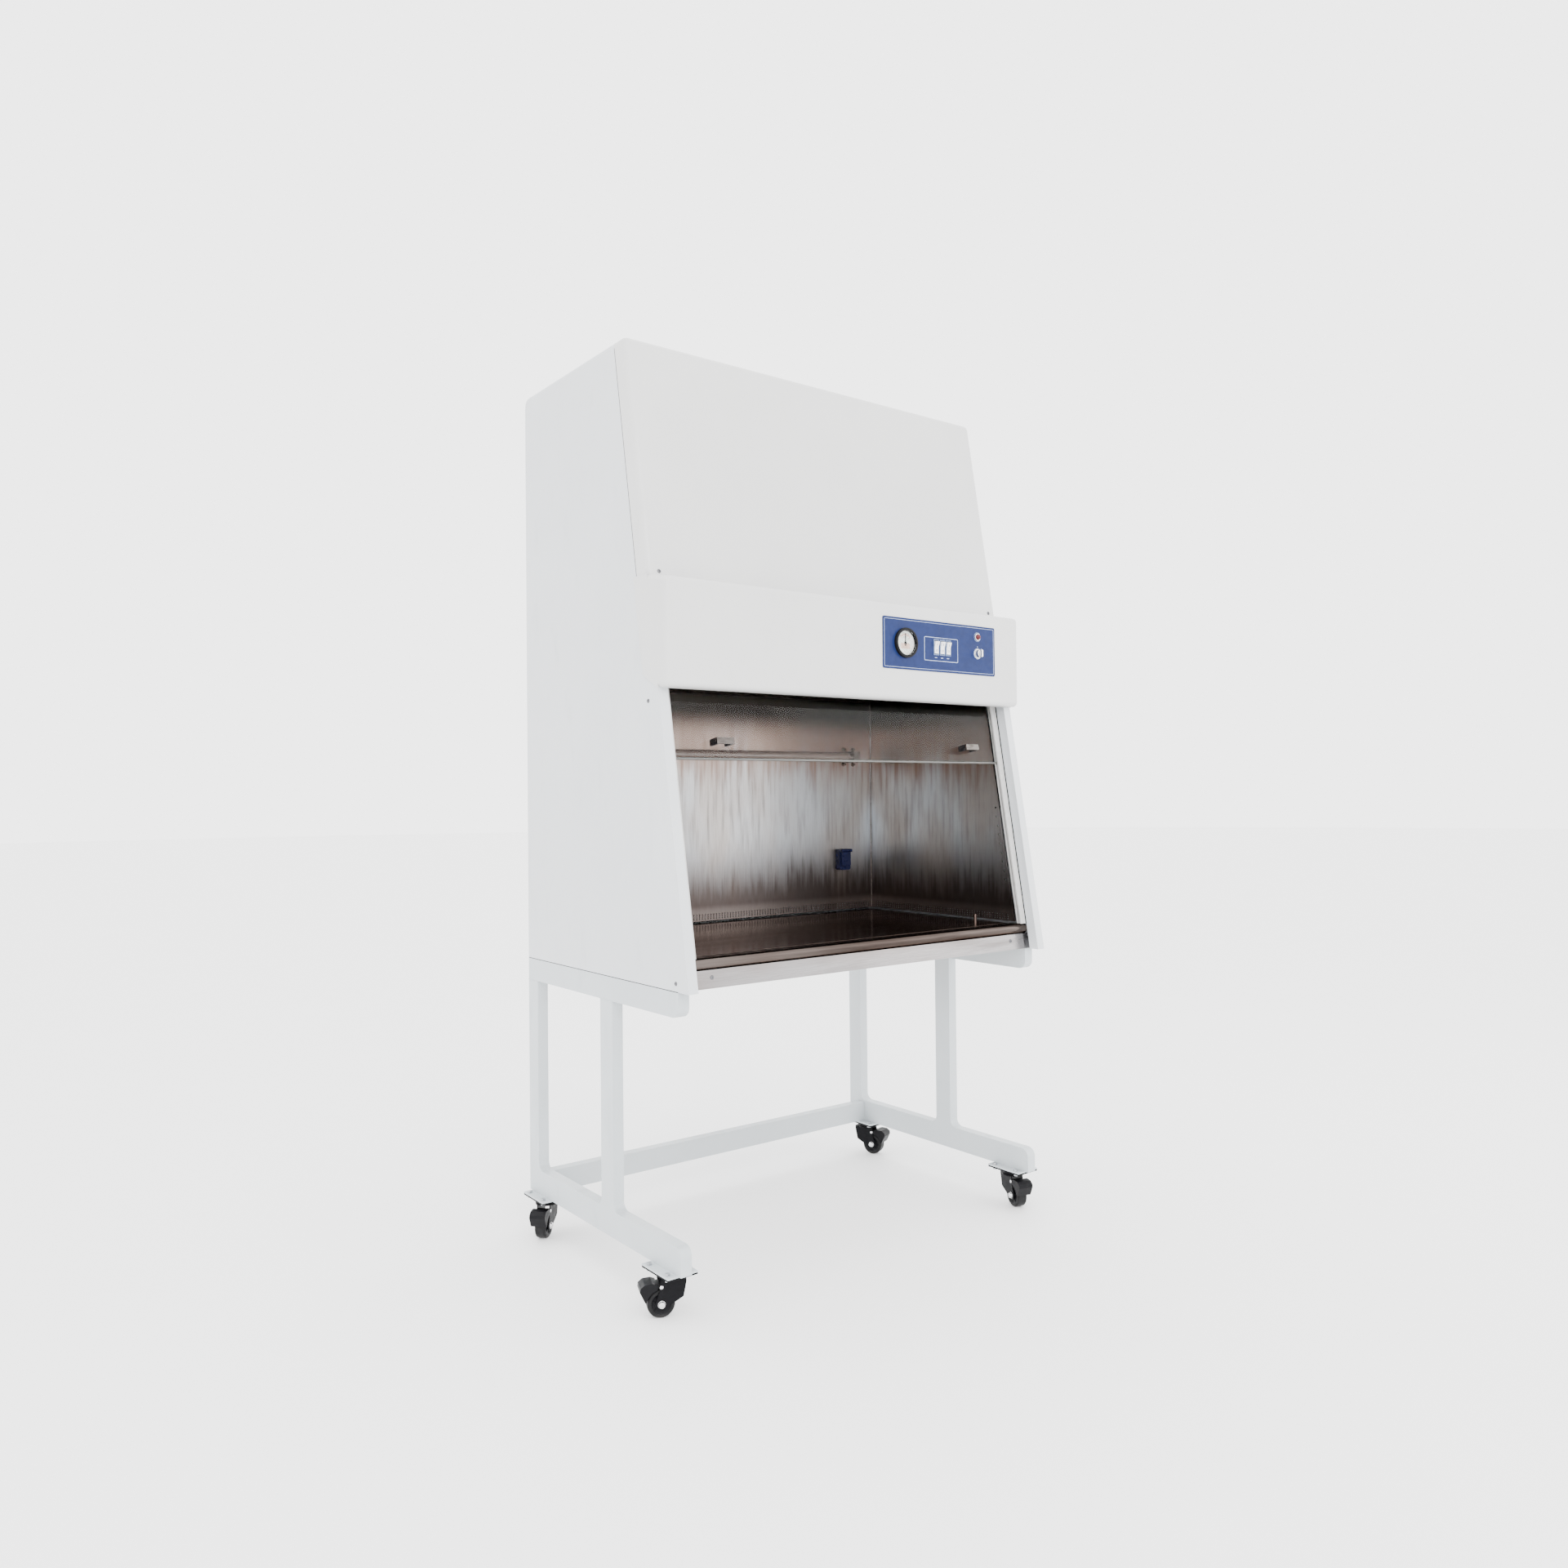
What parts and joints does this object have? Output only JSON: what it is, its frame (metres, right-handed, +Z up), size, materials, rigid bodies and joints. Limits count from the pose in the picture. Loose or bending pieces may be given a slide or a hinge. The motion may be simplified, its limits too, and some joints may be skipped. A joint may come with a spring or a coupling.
{
  "type": "biosafety cabinet",
  "caption": "Free-standing biosafety cabinet: a sloping white cabinet with a sliding glass sash and a stainless work chamber, on an open wheeled stand.",
  "frame": {"origin": "on the floor, under the middle of the cabinet's base, halfway between its back and its lowest front edge", "axes": "+Z up, +X to the operator's right, -Y towards the operator"},
  "size_m": [1.2934, 0.82, 2.314],
  "materials": {
    "white_paint": "satin",
    "grey_paint": "satin",
    "black_steel": "satin",
    "stainless": "brushed",
    "zinc_steel": "satin",
    "cast_weight": "rough",
    "glass": "polished",
    "lamp_glass": "polished",
    "filter_media": "matte",
    "fan_aluminium": "satin",
    "guide_plastic": "matte",
    "black_plastic": "satin",
    "rocker_white": "satin",
    "switch_grey": "satin",
    "wheel_plastic": "matte",
    "handle_steel": "polished",
    "blue_plate": "satin",
    "blue_plastic": "satin",
    "red_lens": "gloss",
    "knob_metal": "polished",
    "gauge_black": "gloss",
    "holder_plastic": "gloss",
    "inlet_plastic": "matte"
  },
  "bodies": {
    "cabinet": {"stand_frame_left": "grey_paint", "stand_frame_right": "grey_paint", "cross_rails": "grey_paint", "caster_plates": "black_steel", "caster_bolts": "zinc_steel", "side_panel_left": "white_paint", "side_panel_right": "white_paint", "rear_panel": "white_paint", "roof_panel": "white_paint", "hood_front_panel": "white_paint", "console_housing": "white_paint", "base_pan": "stainless", "front_fascia": "stainless", "front_airfoil": "stainless", "work_tray": "stainless", "back_baffle": "stainless", "inner_wall_left": "stainless", "inner_wall_right": "stainless", "ceiling_diffuser": "stainless", "supply_filter": "filter_media", "exhaust_filter": "filter_media", "exhaust_grille": "white_paint", "plenum_deck": "zinc_steel", "blower_housing": "zinc_steel", "blower_motor": "black_steel", "sash_guides": "guide_plastic", "uv_lamp": "lamp_glass", "work_lamp": "lamp_glass", "lamp_holders": "holder_plastic", "socket_base": "blue_plastic", "control_plate": "blue_plate", "gauge_case": "gauge_black", "gauge_lens": "glass", "switch_bodies": "switch_grey", "indicator_lamp": "red_lens", "power_inlet": "inlet_plastic", "body_screws": "zinc_steel"},
    "sash": {"sash_glass": "glass", "sash_handles": "handle_steel"},
    "counterweights": {"counterweights": "cast_weight"},
    "sash_pulleys": {"pulley_shaft": "zinc_steel"},
    "impeller": {"blower_impeller": "fan_aluminium"},
    "socket_flap": {"socket_cover": "blue_plastic"},
    "key": {"key_switch": "knob_metal"},
    "needle": {"gauge_needle": "black_plastic"},
    "rocker_1": {"rocker_switch_1": "rocker_white"},
    "rocker_2": {"rocker_switch_2": "rocker_white"},
    "rocker_3": {"rocker_switch_3": "rocker_white"},
    "fork_front_left": {"caster_fork_front_left": "black_steel"},
    "wheel_front_left": {"caster_wheel_front_left": "wheel_plastic"},
    "pedal_front_left": {"brake_pedal_front_left": "black_plastic"},
    "fork_front_right": {"caster_fork_front_right": "black_steel"},
    "wheel_front_right": {"caster_wheel_front_right": "wheel_plastic"},
    "pedal_front_right": {"brake_pedal_front_right": "black_plastic"},
    "fork_rear_left": {"caster_fork_rear_left": "black_steel"},
    "wheel_rear_left": {"caster_wheel_rear_left": "wheel_plastic"},
    "pedal_rear_left": {"brake_pedal_rear_left": "black_plastic"},
    "fork_rear_right": {"caster_fork_rear_right": "black_steel"},
    "wheel_rear_right": {"caster_wheel_rear_right": "wheel_plastic"},
    "pedal_rear_right": {"brake_pedal_rear_right": "black_plastic"}
  },
  "joints": [
    {"name": "sash_slide", "type": "slide", "parent": "cabinet", "child": "sash", "axis": [0, 0.1693, 0.9856], "range_m": [-0.465, 0.095]},
    {"name": "counterweight_slide", "type": "slide", "parent": "cabinet", "child": "counterweights", "axis": [0, 0.1693, 0.9856], "range_m": [-0.0955, 0.4655]},
    {"name": "pulley_turn", "type": "hinge", "parent": "cabinet", "child": "sash_pulleys", "pos_m": [0, -0.10428, 2.18], "axis": [1, 0, 0], "range_deg": [-182, 889]},
    {"name": "fan_turn", "type": "hinge", "parent": "cabinet", "child": "impeller", "pos_m": [0, 0.15, 1.9025], "axis": [1, 0, 0], "continuous": true},
    {"name": "socket_flap_hinge", "type": "hinge", "parent": "cabinet", "child": "socket_flap", "pos_m": [0.419, 0.2422, 1.0155], "axis": [-1, 0, 0], "range_deg": [0, 110]},
    {"name": "key_turn", "type": "hinge", "parent": "cabinet", "child": "key", "pos_m": [0.427, -0.3345, 1.588], "axis": [0, 1, 0], "range_deg": [0, 90]},
    {"name": "needle_turn", "type": "hinge", "parent": "cabinet", "child": "needle", "pos_m": [0.1485, -0.3285, 1.5985], "axis": [0, 1, 0], "range_deg": [-45, 45], "stiffness_Nm_per_rad": 0.0005},
    {"name": "rocker_1_tilt", "type": "hinge", "parent": "cabinet", "child": "rocker_1", "pos_m": [0.263, -0.328, 1.595], "axis": [-1, 0, 0], "range_deg": [0, 18]},
    {"name": "rocker_2_tilt", "type": "hinge", "parent": "cabinet", "child": "rocker_2", "pos_m": [0.286, -0.328, 1.595], "axis": [-1, 0, 0], "range_deg": [0, 18]},
    {"name": "rocker_3_tilt", "type": "hinge", "parent": "cabinet", "child": "rocker_3", "pos_m": [0.309, -0.328, 1.595], "axis": [-1, 0, 0], "range_deg": [0, 18]},
    {"name": "swivel_front_left", "type": "hinge", "parent": "cabinet", "child": "fork_front_left", "pos_m": [-0.585, -0.295, 0.0875], "axis": [0, 0, 1], "continuous": true},
    {"name": "roll_front_left", "type": "hinge", "parent": "fork_front_left", "child": "wheel_front_left", "pos_m": [-0.6054, -0.28676, 0.0325], "axis": [0.3746, 0.9272, 0], "continuous": true},
    {"name": "brake_front_left", "type": "hinge", "parent": "fork_front_left", "child": "pedal_front_left", "pos_m": [-0.6054, -0.28676, 0.072], "axis": [0.3746, 0.9272, 0], "range_deg": [0, 15]},
    {"name": "swivel_front_right", "type": "hinge", "parent": "cabinet", "child": "fork_front_right", "pos_m": [0.585, -0.295, 0.0875], "axis": [0, 0, 1], "continuous": true},
    {"name": "roll_front_right", "type": "hinge", "parent": "fork_front_right", "child": "wheel_front_right", "pos_m": [0.57857, -0.31604, 0.0325], "axis": [-0.9563, 0.2924, 0], "continuous": true},
    {"name": "brake_front_right", "type": "hinge", "parent": "fork_front_right", "child": "pedal_front_right", "pos_m": [0.57857, -0.31604, 0.072], "axis": [-0.9563, 0.2924, 0], "range_deg": [0, 15]},
    {"name": "swivel_rear_left", "type": "hinge", "parent": "cabinet", "child": "fork_rear_left", "pos_m": [-0.585, 0.34, 0.0875], "axis": [0, 0, 1], "continuous": true},
    {"name": "roll_rear_left", "type": "hinge", "parent": "fork_rear_left", "child": "wheel_rear_left", "pos_m": [-0.60109, 0.325, 0.0325], "axis": [-0.682, 0.7314, 0], "continuous": true},
    {"name": "brake_rear_left", "type": "hinge", "parent": "fork_rear_left", "child": "pedal_rear_left", "pos_m": [-0.60109, 0.325, 0.072], "axis": [-0.682, 0.7314, 0], "range_deg": [0, 15]},
    {"name": "swivel_rear_right", "type": "hinge", "parent": "cabinet", "child": "fork_rear_right", "pos_m": [0.585, 0.34, 0.0875], "axis": [0, 0, 1], "continuous": true},
    {"name": "roll_rear_right", "type": "hinge", "parent": "fork_rear_right", "child": "wheel_rear_right", "pos_m": [0.5936, 0.31975, 0.0325], "axis": [-0.9205, -0.3907, 0], "continuous": true},
    {"name": "brake_rear_right", "type": "hinge", "parent": "fork_rear_right", "child": "pedal_rear_right", "pos_m": [0.5936, 0.31975, 0.072], "axis": [-0.9205, -0.3907, 0], "range_deg": [0, 15]}
  ],
  "couplings": [
    {"joint": "counterweight_slide", "follows": "sash_slide", "ratio": -1},
    {"joint": "pulley_turn", "follows": "sash_slide", "rad_per_m": -33.333}
  ]
}
